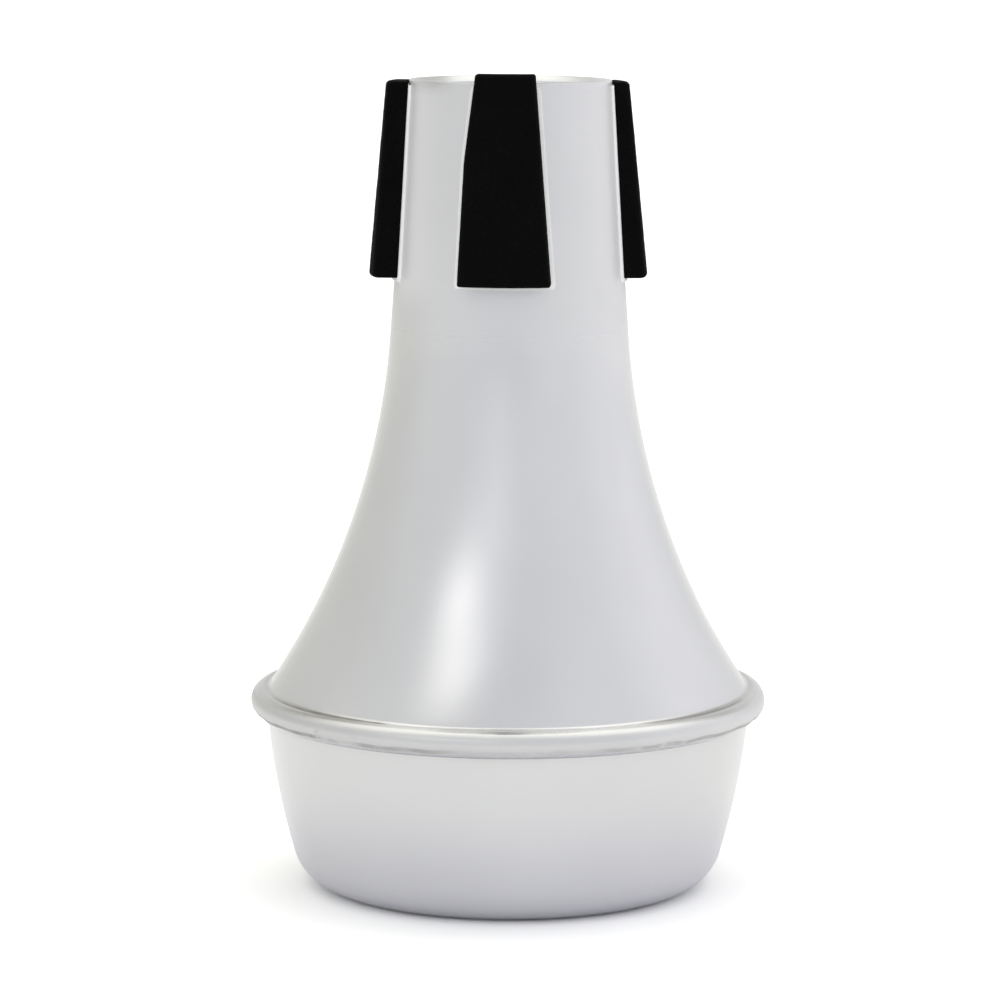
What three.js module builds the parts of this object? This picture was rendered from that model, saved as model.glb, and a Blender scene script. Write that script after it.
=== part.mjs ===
// A straight mute for a trumpet: a spun aluminium body and a spun base cup, crimped together,
// with three foam pads taped round the neck. Millimetres, +Z up, the foot stands on z = 0,
// and the front pad faces -Y. A profile point is (radius, height).

import * as THREE from "three";

const degrees = THREE.MathUtils.degToRad;

// Spun sheet
const sheetThickness = 0.9;

// Neck, a straight cone up to the open mouth
const rimHeight = 144.3;
const rimRadius = 17.9;
const neckTaper = degrees(4.19);

// Flare, one long arc from the throat, where the neck ends, down to the seam
const throatHeight = 98.8;

// Seam bead, where the body's flange is rolled over the cup's curled rim
const seamRadius = 46.1;
const beadRadius = 2.4;
const beadHeight = 33.6;
const beadInset = 0.67;
const seamFillet = 1.0;
const flangeThickness = 0.6;
const flangeCrownThickness = 0.5;
const flangeEdgeTurn = degrees(-31);
const flangeTuckTurn = degrees(-37);
const flangeBendTurn = degrees(125);
const seamClearance = 0.15;

// Curled rim of the cup, a flattened roll of sheet
const curlHalfWidth = 1.45;
const curlSag = 0.3;
const curlEndTurn = degrees(-90);

// Base cup, a wall that bows outwards from a rounded corner up to the curl
const cupLean = degrees(4.48);
const cupWallRadius = 133.4;
const cupCornerRadius = 8.43;

// Foam pads and the tape under them, both cut as tapering strips
const padTopWidth = 10.3;
const padBottomWidth = 16.25;
const padTopThickness = 3.45;
const padBottomThickness = 3.93;
const padEdgeRound = 0.7;
const tapeThickness = 0.4;
const tapeMargin = 0.65;
const bondGap = 0.12;
const frontPadLength = 36.5;
const frontPadTop = rimHeight + 1.7;
const sidePadLength = 34.4;
const sidePadTop = rimHeight - 0.3;
const rightPadSqueeze = { bottom: 0.5, top: 1.0 };
const noSqueeze = { bottom: 0, top: 0 };
const pads = [
  {
    place: "front",
    azimuth: degrees(-2.8),
    top: frontPadTop,
    length: frontPadLength,
    squeeze: noSqueeze,
  },
  {
    place: "left",
    azimuth: degrees(-94.5),
    top: sidePadTop,
    length: sidePadLength,
    squeeze: noSqueeze,
  },
  {
    place: "right",
    azimuth: degrees(98),
    top: sidePadTop,
    length: sidePadLength,
    squeeze: rightPadSqueeze,
  },
];

// Facets
const turnSteps = 64;
const beadSteps = 12;
const filletSteps = 5;
const flareSteps = 10;
const rimSteps = 4;
const curlSteps = 9;
const curlInsideSteps = 7;
const cornerSteps = 5;
const wallSteps = 4;
const padSteps = 6;
const tapeSteps = 8;
const roundShares = [0, 0.3, 1];

const aluminium = new THREE.MeshStandardMaterial({ color: 0xd8d8da, roughness: 0.35, metalness: 1 });
const foam = new THREE.MeshStandardMaterial({ color: 0x0b0b0c, roughness: 0.95, metalness: 0 });
const whiteTape = new THREE.MeshStandardMaterial({ color: 0xf2f2ef, roughness: 0.6, metalness: 0 });

// Points of an elliptical arc, both ends included, with turns counted from the outward direction
function arc(centre, halfWidth, halfHeight, fromTurn, toTurn, steps) {
  const points = [];
  for (let step = 0; step <= steps; step += 1) {
    const turn = THREE.MathUtils.lerp(fromTurn, toTurn, step / steps);
    const across = centre.x + halfWidth * Math.cos(turn);
    const up = centre.y + halfHeight * Math.sin(turn);
    points.push(new THREE.Vector2(across, up));
  }
  return points;
}

function roundArc(centre, radius, fromTurn, toTurn, steps) {
  return arc(centre, radius, radius, fromTurn, toTurn, steps);
}

// The direction from one profile point to another, as a turn
function turnBetween(from, to) {
  return to.clone().sub(from).angle();
}

// The point at given distances from two centres, left of the line from the first to the second
function meetingPoint(first, firstDistance, second, secondDistance) {
  const along = second.clone().sub(first).normalize();
  const leftward = new THREE.Vector2(-along.y, along.x);
  const span = first.distanceTo(second);
  const forward = (firstDistance ** 2 - secondDistance ** 2 + span ** 2) / (2 * span);
  const aside = Math.sqrt(firstDistance ** 2 - forward ** 2);
  return first.clone().addScaledVector(along, forward).addScaledVector(leftward, aside);
}

// A closed solid of revolution about +Z, from a profile that runs up its outer side
function turned(profile) {
  const geometry = new THREE.LatheGeometry(profile, turnSteps);
  geometry.rotateX(Math.PI / 2);
  return geometry;
}

function neckRadiusAt(height) {
  return rimRadius + (rimHeight - height) * Math.tan(neckTaper);
}

// The radius of the arc that leaves the neck at the throat and passes outside the bead's centre
function radiusOfFlare(throat, neckNormal, beadCentre) {
  const reach = beadCentre.clone().sub(throat);
  return (reach.lengthSq() - beadInset ** 2) / (2 * (reach.dot(neckNormal) + beadInset));
}

const beadCentre = new THREE.Vector2(seamRadius - beadRadius, beadHeight);
const curlTop = beadHeight + beadRadius - flangeCrownThickness - seamClearance;
const curlBottom = beadHeight - beadRadius - curlSag;
const curlHalfHeight = (curlTop - curlBottom) / 2;
const curlCentre = new THREE.Vector2(
  seamRadius - flangeThickness - seamClearance - curlHalfWidth,
  (curlTop + curlBottom) / 2,
);
const throat = new THREE.Vector2(neckRadiusAt(throatHeight), throatHeight);
const neckNormal = new THREE.Vector2(Math.cos(neckTaper), Math.sin(neckTaper));
const flareRadius = radiusOfFlare(throat, neckNormal, beadCentre);
const flareCentre = throat.clone().addScaledVector(neckNormal, flareRadius);

// The outer radius of the body above the seam
function bodyRadiusAt(height) {
  if (height > throatHeight) {
    return neckRadiusAt(height);
  }
  return flareCentre.x - Math.sqrt(flareRadius ** 2 - (flareCentre.y - height) ** 2);
}

// Body: neck, flare, fillet and the flange rolled out and down over the curl
function bodyProfile() {
  const filletCentre = meetingPoint(
    beadCentre,
    beadRadius + seamFillet,
    flareCentre,
    flareRadius - seamFillet,
  );
  const crownTurn = turnBetween(beadCentre, filletCentre);
  const flareFootTurn = turnBetween(flareCentre, filletCentre);
  const neckTurn = Math.PI + neckTaper;
  const rimRound = sheetThickness / 2;
  const rimCentre = new THREE.Vector2(
    neckRadiusAt(rimHeight - rimRound) - rimRound / Math.cos(neckTaper),
    rimHeight - rimRound,
  );
  const bead = roundArc(beadCentre, beadRadius, flangeEdgeTurn, crownTurn, beadSteps);
  const fillet = roundArc(filletCentre, seamFillet, crownTurn + Math.PI, flareFootTurn, filletSteps);
  const flare = roundArc(flareCentre, flareRadius, flareFootTurn, neckTurn, flareSteps);
  const rim = roundArc(rimCentre, rimRound, neckTaper, neckTaper + Math.PI, rimSteps);
  const inside = roundArc(
    flareCentre,
    flareRadius + sheetThickness,
    neckTurn,
    flareFootTurn,
    flareSteps,
  );
  const flangeInside = arc(
    curlCentre,
    curlHalfWidth + seamClearance,
    curlHalfHeight + seamClearance,
    flangeBendTurn,
    flangeTuckTurn,
    curlSteps,
  );
  const outside = [...bead, ...fillet.slice(1), ...flare.slice(1)];
  return [...outside, ...rim, ...inside, ...flangeInside, bead[0]];
}

// Cup: flat foot, rounded corner, bowed wall and the rim curled outwards and down
function cupProfile() {
  const wallCentre = new THREE.Vector2(
    curlCentre.x - curlHalfWidth + sheetThickness - cupWallRadius * Math.cos(cupLean),
    curlCentre.y + cupWallRadius * Math.sin(cupLean),
  );
  const cornerReach = cupWallRadius - cupCornerRadius;
  const cornerDrop = wallCentre.y - cupCornerRadius;
  const cornerCentre = new THREE.Vector2(
    wallCentre.x + Math.sqrt(cornerReach ** 2 - cornerDrop ** 2),
    cupCornerRadius,
  );
  const underTurn = -Math.PI / 2;
  const cornerTurn = -Math.asin(cornerDrop / cornerReach);
  const wallInsideRadius = cupWallRadius - sheetThickness;
  const cornerInsideRadius = cupCornerRadius - sheetThickness;
  const corner = roundArc(cornerCentre, cupCornerRadius, underTurn, cornerTurn, cornerSteps);
  const wall = roundArc(wallCentre, cupWallRadius, cornerTurn, -cupLean, wallSteps);
  const curlInside = arc(
    curlCentre,
    curlHalfWidth - sheetThickness,
    curlHalfHeight - sheetThickness,
    Math.PI,
    curlEndTurn,
    curlInsideSteps,
  );
  const curlOutside = arc(
    curlCentre,
    curlHalfWidth,
    curlHalfHeight,
    curlEndTurn,
    Math.PI,
    curlSteps,
  );
  const wallInside = roundArc(wallCentre, wallInsideRadius, -cupLean, cornerTurn, wallSteps);
  const cornerInside = roundArc(cornerCentre, cornerInsideRadius, cornerTurn, underTurn, cornerSteps);
  return [
    new THREE.Vector2(0, 0),
    ...corner,
    ...wall.slice(1),
    ...curlInside.slice(1),
    ...curlOutside,
    ...wallInside.slice(1),
    ...cornerInside.slice(1),
    new THREE.Vector2(0, sheetThickness),
  ];
}

// Distances along a strip, closer together at its two rounded ends
function stops(length, round, steps) {
  const ends = round > 0 ? roundShares.map((share) => share * round) : [0];
  const reach = ends[ends.length - 1];
  const middle = [];
  for (let step = 1; step < steps; step += 1) {
    middle.push(THREE.MathUtils.lerp(reach, length - reach, step / steps));
  }
  return [...ends, ...middle, ...ends.map((end) => length - end).reverse()];
}

// How far a rounded edge has dropped at given distances from the two nearest sides
function roundDrop(round, fromSide, fromEnd) {
  const sideReach = Math.max(round - fromSide, 0);
  const endReach = Math.max(round - fromEnd, 0);
  return round - Math.sqrt(Math.max(round ** 2 - sideReach ** 2 - endReach ** 2, 0));
}

// The corners on the border of a grid, anticlockwise from its first corner
function gridBorder(rowCount, columnCount) {
  const border = [];
  for (let column = 0; column < columnCount - 1; column += 1) {
    border.push([0, column]);
  }
  for (let row = 0; row < rowCount - 1; row += 1) {
    border.push([row, columnCount - 1]);
  }
  for (let column = columnCount - 1; column > 0; column -= 1) {
    border.push([rowCount - 1, column]);
  }
  for (let row = rowCount - 1; row > 0; row -= 1) {
    border.push([row, 0]);
  }
  return border;
}

// A closed slab between two matching grids of points, with the outer one facing -Y
function slab(innerRows, outerRows) {
  const rowCount = innerRows.length;
  const columnCount = innerRows[0].length;
  const inner = (row, column) => row * columnCount + column;
  const outer = (row, column) => (rowCount + row) * columnCount + column;
  const index = [];
  const addQuad = (a, b, c, d) => index.push(a, b, c, a, c, d);
  for (let row = 1; row < rowCount; row += 1) {
    for (let column = 1; column < columnCount; column += 1) {
      const corners = [[row - 1, column - 1], [row - 1, column], [row, column], [row, column - 1]];
      addQuad(...corners.map((corner) => outer(...corner)));
      addQuad(...corners.map((corner) => inner(...corner)).reverse());
    }
  }
  const border = gridBorder(rowCount, columnCount);
  border.forEach((here, place) => {
    const next = border[(place + 1) % border.length];
    addQuad(inner(...here), inner(...next), outer(...next), outer(...here));
  });
  const coordinates = [...innerRows, ...outerRows].flat().flatMap((corner) => corner.toArray());
  const geometry = new THREE.BufferGeometry();
  geometry.setAttribute("position", new THREE.Float32BufferAttribute(coordinates, 3));
  geometry.setIndex(index);
  geometry.computeVertexNormals();
  return geometry;
}

// A tapering strip with parallel side faces, wrapped round the front of the neck
function neckStrip({ ends, widths, thicknesses, lift, round, steps }) {
  const [bottom, top] = ends;
  const length = top - bottom;
  const innerRows = [];
  const outerRows = [];
  for (const rise of stops(length, round, steps)) {
    const height = bottom + rise;
    const width = THREE.MathUtils.lerp(...widths, rise / length);
    const thickness = THREE.MathUtils.lerp(...thicknesses, rise / length);
    const innerRadius = bodyRadiusAt(height) + lift;
    const fromEnd = Math.min(rise, length - rise);
    const columns = stops(width, round, steps);
    const wrapped = (column, radius) => {
      const across = column - width / 2;
      return new THREE.Vector3(across, -Math.sqrt(radius ** 2 - across ** 2), height);
    };
    innerRows.push(columns.map((column) => wrapped(column, innerRadius)));
    outerRows.push(columns.map((column) => {
      const drop = roundDrop(round, Math.min(column, width - column), fromEnd);
      return wrapped(column, innerRadius + thickness - drop);
    }));
  }
  return slab(innerRows, outerRows);
}

function tapeStrip(pad) {
  return neckStrip({
    ends: [pad.top - pad.length - tapeMargin, Math.min(pad.top, rimHeight) - tapeMargin],
    widths: [padBottomWidth + 2 * tapeMargin, padTopWidth + 2 * tapeMargin],
    thicknesses: [tapeThickness, tapeThickness],
    lift: bondGap,
    round: 0,
    steps: tapeSteps,
  });
}

function foamStrip(pad) {
  return neckStrip({
    ends: [pad.top - pad.length, pad.top],
    widths: [padBottomWidth, padTopWidth],
    thicknesses: [
      padBottomThickness - pad.squeeze.bottom,
      padTopThickness - pad.squeeze.top,
    ],
    lift: bondGap + tapeThickness + bondGap,
    round: padEdgeRound,
    steps: padSteps,
  });
}

const mute = new THREE.Group();

function addPiece(name, geometry, material) {
  const piece = new THREE.Mesh(geometry, material);
  piece.name = name;
  mute.add(piece);
  return piece;
}

addPiece("body_shell", turned(bodyProfile()), aluminium);
addPiece("base_cup", turned(cupProfile()), aluminium);
for (const pad of pads) {
  const tape = addPiece(`tape_${pad.place}`, tapeStrip(pad), whiteTape);
  const foamPad = addPiece(`pad_${pad.place}`, foamStrip(pad), foam);
  tape.rotation.z = pad.azimuth;
  foamPad.rotation.z = pad.azimuth;
}

export default mute;
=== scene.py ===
"""Looks of a straight mute for a trumpet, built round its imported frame.

The spun shells, the tape and the foam pads are modelled again here in finer meshes,
from the same sizes as the CAD solids. Sizes are in millimetres until a mesh is written.
"""

import math

import bpy
import numpy as np
from mathutils import Matrix, Vector, noise


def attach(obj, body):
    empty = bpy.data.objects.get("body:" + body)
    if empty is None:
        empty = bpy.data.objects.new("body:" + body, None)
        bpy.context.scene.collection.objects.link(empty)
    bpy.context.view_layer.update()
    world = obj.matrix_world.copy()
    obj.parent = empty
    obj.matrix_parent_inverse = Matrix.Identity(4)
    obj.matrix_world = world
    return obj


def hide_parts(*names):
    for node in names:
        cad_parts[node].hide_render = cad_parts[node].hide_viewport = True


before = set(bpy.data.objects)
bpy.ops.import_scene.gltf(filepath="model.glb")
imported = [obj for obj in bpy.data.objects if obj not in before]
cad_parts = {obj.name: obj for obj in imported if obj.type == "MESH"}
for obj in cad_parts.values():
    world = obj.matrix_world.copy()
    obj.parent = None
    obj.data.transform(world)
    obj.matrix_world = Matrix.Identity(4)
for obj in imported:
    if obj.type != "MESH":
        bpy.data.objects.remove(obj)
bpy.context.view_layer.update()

METRE = 1000.0

# Spun sheet, neck and throat
SHEET = 0.9
RIM_HEIGHT = 144.3
RIM_RADIUS = 17.9
NECK_TAPER = math.radians(4.19)
THROAT_HEIGHT = 98.8
RIM_ROUND = 0.12

# Arcs that roll the lip of the rim inward: radius, and the turns in degrees between which it runs
LIP_ARCS = [(0.12, 90, 108), (0.6, 108, 122), (5.0, 122, 138), (0.7, 138, 175)]

# Seam bead
SEAM_RADIUS = 46.1
BEAD_RADIUS = 2.4
BEAD_HEIGHT = 33.6
BEAD_INSET = 0.67
SEAM_FILLET = 1.0
FLANGE_THICKNESS = 0.6
FLANGE_CROWN_THICKNESS = 0.5
FLANGE_EDGE_TURN = math.radians(-31)
FLANGE_TUCK_TURN = math.radians(-37)
FLANGE_BEND_TURN = math.radians(125)
SEAM_CLEARANCE = 0.15

# Curled rim of the cup
CURL_HALF_WIDTH = 1.45
CURL_SAG = 0.3
CURL_END_TURN = math.radians(-90)

# Base cup
CUP_LEAN = math.radians(4.48)
CUP_WALL_RADIUS = 133.4
CUP_CORNER_RADIUS = 8.43

# Foam pads and the tape under them. A squeeze is how much thinner a pad is at its bottom
# and at its top. A bulge is how far a side lies outside its straight line, by the share
# of the pad's height.
PAD_TOP_WIDTH = 10.3
PAD_BOTTOM_WIDTH = 16.25
PAD_TOP_THICKNESS = 3.45
PAD_BOTTOM_THICKNESS = 3.93
PAD_ROUND = 0.7
PAD_OUTLINE_ROUND = 0.4
PAD_CROWN = 0.12
TAPE_THICKNESS = 0.4
TAPE_MARGIN = 0.65
TAPE_ROUND = 0.1
BOND_GAP = 0.12
GLUE_LINE = 0.02
FRONT_PAD = {
    "place": "front",
    "azimuth": math.radians(-2.8),
    "squeeze": (0.0, 0.0),
    "top": RIM_HEIGHT + 1.7,
    "length": 36.5,
    "left_bulge": [(0.0, 0.0), (0.575, 0.64), (0.62, 0.61), (1.0, 0.0)],
    "right_bulge": [(0.0, 0.0), (1.0, 0.0)],
}
LEFT_PAD = {
    "place": "left",
    "azimuth": math.radians(-94.5),
    "squeeze": (0.0, 0.0),
    "top": RIM_HEIGHT - 0.3,
    "length": 34.4,
    "left_bulge": [(0.0, 0.0), (1.0, 0.0)],
    "right_bulge": [(0.0, 0.0), (0.4, 0.15), (1.0, 0.0)],
}
RIGHT_PAD = {
    "place": "right",
    "azimuth": math.radians(98),
    "squeeze": (0.5, 1.0),
    "top": RIM_HEIGHT - 0.3,
    "length": 34.4,
    "left_bulge": [(0.0, 0.0), (0.6, 0.2), (1.0, 0.0)],
    "right_bulge": [(0.0, 0.0), (1.0, 0.0)],
}

# Relief of the foam: repeats to a millimetre and depth of each swell, and its open pores.
# The shift moves the pattern from one pad to the next.
FOAM_SWELLS = [(0.35, 0.05), (1.6, 0.03)]
PORE_REPEATS = 3.1
PORE_RARITY = 0.25
PORE_DEPTH = 0.12
FOAM_SHIFT = 100

# Mesh steps round the axis, finer over the marks on the left of the bead
TURN_STEPS = 512
MARKED_SPAN = (-52.0, -31.0)
MARKED_PARTS = 5

# Mesh steps along the body's profile
BEAD_STEPS = 44
FILLET_STEPS = 24
FLARE_STEPS = 90
NECK_STEPS = 39
RIM_STEPS = 6
LIP_STEPS = 12
FLARE_INSIDE_STEPS = 70
FLANGE_STEPS = 30

# Mesh steps along the cup's profile
FOOT_STEPS = 29
CORNER_STEPS = 30
WALL_STEPS = 40
CURL_INSIDE_STEPS = 20
CURL_STEPS = 44
WALL_INSIDE_STEPS = 30
CORNER_INSIDE_STEPS = 20
FLOOR_STEPS = 19

# Mesh steps of the pads and the tape: lengths, and how many round each edge
PAD_STEP = 0.35
TAPE_STEP = 0.8
ROUND_STEPS = 5

METAL_SHARP_TURN = math.radians(50)
STRIP_SHARP_TURN = math.radians(60)


def arc(centre, half_width, half_height, from_turn, to_turn, steps):
    """Points (radius, height) of an elliptical arc, both ends included."""
    turns = np.linspace(from_turn, to_turn, steps + 1)
    return np.stack(
        [centre[0] + half_width * np.cos(turns), centre[1] + half_height * np.sin(turns)],
        axis=1,
    )


def round_arc(centre, radius, from_turn, to_turn, steps):
    return arc(centre, radius, radius, from_turn, to_turn, steps)


def following_arc(start, radius, from_turn, to_turn, steps):
    """An arc whose first point is given."""
    centre = start - radius * np.array([math.cos(from_turn), math.sin(from_turn)])
    return round_arc(centre, radius, from_turn, to_turn, steps)


def turn_between(start, end):
    """The direction from one profile point to another, from 0 to a full turn."""
    return math.atan2(end[1] - start[1], end[0] - start[0]) % math.tau


def meeting_point(first, first_distance, second, second_distance):
    """The point at given distances from two centres, left of the line between them."""
    span = float(np.linalg.norm(second - first))
    along = (second - first) / span
    leftward = np.array([-along[1], along[0]])
    forward = (first_distance**2 - second_distance**2 + span**2) / (2 * span)
    return first + along * forward + leftward * math.sqrt(first_distance**2 - forward**2)


def neck_radius_at(height):
    return RIM_RADIUS + (RIM_HEIGHT - height) * math.tan(NECK_TAPER)


BEAD_CENTRE = np.array([SEAM_RADIUS - BEAD_RADIUS, BEAD_HEIGHT])
CURL_TOP = BEAD_HEIGHT + BEAD_RADIUS - FLANGE_CROWN_THICKNESS - SEAM_CLEARANCE
CURL_BOTTOM = BEAD_HEIGHT - BEAD_RADIUS - CURL_SAG
CURL_HALF_HEIGHT = (CURL_TOP - CURL_BOTTOM) / 2
CURL_CENTRE = np.array(
    [
        SEAM_RADIUS - FLANGE_THICKNESS - SEAM_CLEARANCE - CURL_HALF_WIDTH,
        (CURL_TOP + CURL_BOTTOM) / 2,
    ]
)
THROAT = np.array([neck_radius_at(THROAT_HEIGHT), THROAT_HEIGHT])
NECK_NORMAL = np.array([math.cos(NECK_TAPER), math.sin(NECK_TAPER)])
REACH = BEAD_CENTRE - THROAT
FLARE_RADIUS = float((REACH @ REACH - BEAD_INSET**2) / (2 * (REACH @ NECK_NORMAL + BEAD_INSET)))
FLARE_CENTRE = THROAT + NECK_NORMAL * FLARE_RADIUS


def body_radius_at(height):
    """The outer radius of the body above the seam."""
    if height > THROAT_HEIGHT:
        return neck_radius_at(height)
    return FLARE_CENTRE[0] - math.sqrt(FLARE_RADIUS**2 - (FLARE_CENTRE[1] - height) ** 2)


def join(*parts):
    """One profile from several arcs that share their end points."""
    return np.concatenate([parts[0], *[part[1:] for part in parts[1:]]])


def rim_profile():
    """The rim's outer corner and its lip, which is rolled inward."""
    rim_centre = np.array(
        [
            neck_radius_at(RIM_HEIGHT - RIM_ROUND) - RIM_ROUND / math.cos(NECK_TAPER),
            RIM_HEIGHT - RIM_ROUND,
        ]
    )
    rim = round_arc(rim_centre, RIM_ROUND, NECK_TAPER, math.pi / 2, RIM_STEPS)
    for radius, from_turn, to_turn in LIP_ARCS:
        turns = math.radians(from_turn), math.radians(to_turn)
        rim = join(rim, following_arc(rim[-1], radius, *turns, LIP_STEPS))
    return rim


def body_profile():
    """The body's profile as one closed list, and where parts of it lie in that list.

    It runs up the outer side, over the rim, down the inner side and round the flange's inside.
    """
    fillet_centre = meeting_point(
        BEAD_CENTRE,
        BEAD_RADIUS + SEAM_FILLET,
        FLARE_CENTRE,
        FLARE_RADIUS - SEAM_FILLET,
    )
    crown_turn = turn_between(BEAD_CENTRE, fillet_centre)
    flare_foot_turn = turn_between(FLARE_CENTRE, fillet_centre)
    neck_turn = math.pi + NECK_TAPER
    bead = round_arc(BEAD_CENTRE, BEAD_RADIUS, FLANGE_EDGE_TURN, crown_turn, BEAD_STEPS)
    fillet_turn = crown_turn + math.pi
    fillet = round_arc(fillet_centre, SEAM_FILLET, fillet_turn, flare_foot_turn, FILLET_STEPS)
    flare = round_arc(FLARE_CENTRE, FLARE_RADIUS, flare_foot_turn, neck_turn, FLARE_STEPS)
    rim = rim_profile()
    inside_radius = FLARE_RADIUS + SHEET
    inside = round_arc(
        FLARE_CENTRE, inside_radius, neck_turn, flare_foot_turn, FLARE_INSIDE_STEPS
    )
    flange_inside = arc(
        CURL_CENTRE,
        CURL_HALF_WIDTH + SEAM_CLEARANCE,
        CURL_HALF_HEIGHT + SEAM_CLEARANCE,
        FLANGE_BEND_TURN,
        FLANGE_TUCK_TURN,
        FLANGE_STEPS,
    )
    neck_stops = np.linspace(0, 1, NECK_STEPS + 1)[1:-1, None]
    neck = flare[-1] + (rim[0] - flare[-1]) * neck_stops
    neck_inside = rim[-1] + (inside[0] - rim[-1]) * neck_stops
    outside = join(bead, fillet, flare)
    profile = np.concatenate([outside, neck, rim, neck_inside, inside, flange_inside])
    lip_start = len(outside) + len(neck)
    places = {
        "bead": slice(0, len(bead)),
        "crease": slice(0, len(bead) + len(fillet) - 1),
        "lip": slice(lip_start, lip_start + len(rim)),
        "inner": slice(lip_start + len(rim), len(profile)),
        "flange": slice(len(profile) - len(flange_inside), len(profile)),
    }
    return profile, places


def cup_profile():
    """The cup's profile, and where its curl starts and where its inner wall starts in it.

    It runs from the middle of the foot up the outer side, and back down the inner side.
    """
    wall_centre = np.array(
        [
            CURL_CENTRE[0] - CURL_HALF_WIDTH + SHEET - CUP_WALL_RADIUS * math.cos(CUP_LEAN),
            CURL_CENTRE[1] + CUP_WALL_RADIUS * math.sin(CUP_LEAN),
        ]
    )
    corner_reach = CUP_WALL_RADIUS - CUP_CORNER_RADIUS
    corner_drop = wall_centre[1] - CUP_CORNER_RADIUS
    corner_centre = np.array(
        [wall_centre[0] + math.sqrt(corner_reach**2 - corner_drop**2), CUP_CORNER_RADIUS]
    )
    under_turn = -math.pi / 2
    corner_turn = -math.asin(corner_drop / corner_reach)
    inner_wall_radius = CUP_WALL_RADIUS - SHEET
    inner_corner_radius = CUP_CORNER_RADIUS - SHEET
    corner = round_arc(corner_centre, CUP_CORNER_RADIUS, under_turn, corner_turn, CORNER_STEPS)
    wall = round_arc(wall_centre, CUP_WALL_RADIUS, corner_turn, -CUP_LEAN, WALL_STEPS)
    curl_inside = arc(
        CURL_CENTRE,
        CURL_HALF_WIDTH - SHEET,
        CURL_HALF_HEIGHT - SHEET,
        math.pi,
        CURL_END_TURN,
        CURL_INSIDE_STEPS,
    )
    curl_outside = arc(
        CURL_CENTRE, CURL_HALF_WIDTH, CURL_HALF_HEIGHT, CURL_END_TURN, math.pi, CURL_STEPS
    )
    inner_wall = round_arc(
        wall_centre, inner_wall_radius, -CUP_LEAN, corner_turn, WALL_INSIDE_STEPS
    )
    inner_corner = round_arc(
        corner_centre, inner_corner_radius, corner_turn, under_turn, CORNER_INSIDE_STEPS
    )
    foot = np.linspace(0, 1, FOOT_STEPS + 1)[:-1, None] * corner[0]
    outside = np.concatenate([foot, join(corner, wall, curl_inside)])
    floor = np.linspace(1, 0, FLOOR_STEPS + 1)[1:, None] * [corner[0][0], 0] + [0, SHEET]
    inside = join(curl_outside, inner_wall, inner_corner)
    profile = np.concatenate([outside, inside, floor])
    return profile, len(outside), len(outside) + len(curl_outside)


def azimuth_stops():
    """Azimuths once round the axis, closer together over the marked span."""
    azimuths = []
    width = 360 / TURN_STEPS
    for step in range(TURN_STEPS):
        start = step * width - 180
        parts = MARKED_PARTS if MARKED_SPAN[0] < start < MARKED_SPAN[1] else 1
        azimuths += [start + width * part / parts for part in range(parts)]
    return np.radians(azimuths)


AZIMUTHS = azimuth_stops()
COLUMNS = len(AZIMUTHS)


def ripple(seed, lowest, highest, count):
    """A smooth closed random wave round the axis, between about -1 and 1."""
    random = np.random.default_rng(seed)
    wave = np.zeros(COLUMNS)
    for _ in range(count):
        cycles = random.integers(lowest, highest)
        wave += np.sin(AZIMUTHS * cycles + random.uniform(0, math.tau)) / math.sqrt(count)
    return wave


def by_azimuth(table, column=1):
    """A value round the axis, from a table of azimuths in degrees and values."""
    table = np.array(table)
    return np.interp(np.degrees(AZIMUTHS), table[:, 0], table[:, column])


def new_object(name, vertices, faces, sharp_angle):
    """A smooth-shaded mesh object in metres."""
    mesh = bpy.data.meshes.new(name)
    mesh.from_pydata((np.asarray(vertices) / METRE).tolist(), [], faces)
    mesh.validate()
    mesh.shade_smooth()
    mesh.set_sharp_from_angle(angle=sharp_angle)
    piece = bpy.data.objects.new(name, mesh)
    bpy.context.scene.collection.objects.link(piece)
    return piece


def turned_rows(profile, dents, away=0.0, up=0.0):
    """Rows of points round the axis for a profile, with dents and an added shift."""
    radii = np.repeat(profile[:, :1], COLUMNS, axis=1)
    heights = np.repeat(profile[:, 1:], COLUMNS, axis=1)
    along = profile[:, :1] * 0 + AZIMUTHS[None, :]
    push = np.zeros_like(radii)
    for azimuth, height, half_width, half_height, depth in dents:
        aside = (along - math.radians(azimuth) + math.pi) % math.tau - math.pi
        spread = (aside * radii / half_width) ** 2 + ((heights - height) / half_height) ** 2
        push -= depth * np.exp(-spread)
    radii = radii + away + push
    rise_share = np.interp(heights, *zip(*SEAM_RISE_SHARES))
    heights = heights + up + rise_share * by_azimuth(SEAM_RISE)
    return np.stack([radii * np.sin(along), -radii * np.cos(along), heights], axis=2)


def row_quads(first_row, second_row):
    """Faces between two rows of points that go round the axis."""
    quads = []
    for step in range(COLUMNS):
        following = (step + 1) % COLUMNS
        quads.append(
            (
                first_row + step,
                first_row + following,
                second_row + following,
                second_row + step,
            )
        )
    return quads


# Small marks of the rolling tool on the bead: azimuth, height, half sizes and depth
BEAD_DENTS = [
    (-45.7, 32.75, 0.5, 0.38, -0.65),
    (-41.9, 32.6, 0.45, 0.4, 0.13),
    (-34.8, 32.6, 1.3, 0.55, -0.2),
    (-38.4, 32.7, 0.6, 0.5, 0.04),
    (-4.6, 35.4, 0.9, 0.5, 0.05),
    (61.0, 33.4, 0.7, 0.4, 0.05),
    (118.0, 33.2, 1.0, 0.5, 0.08),
    (171.0, 33.5, 0.8, 0.5, 0.07),
    (-128.0, 33.1, 0.9, 0.5, 0.09),
    (92.0, 31.9, 9.0, 0.7, -0.2),
]
CUP_DENTS = [(-78.0, 12.0, 2.2, 1.6, 0.03), (34.0, 9.0, 1.8, 1.5, 0.03)]

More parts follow.
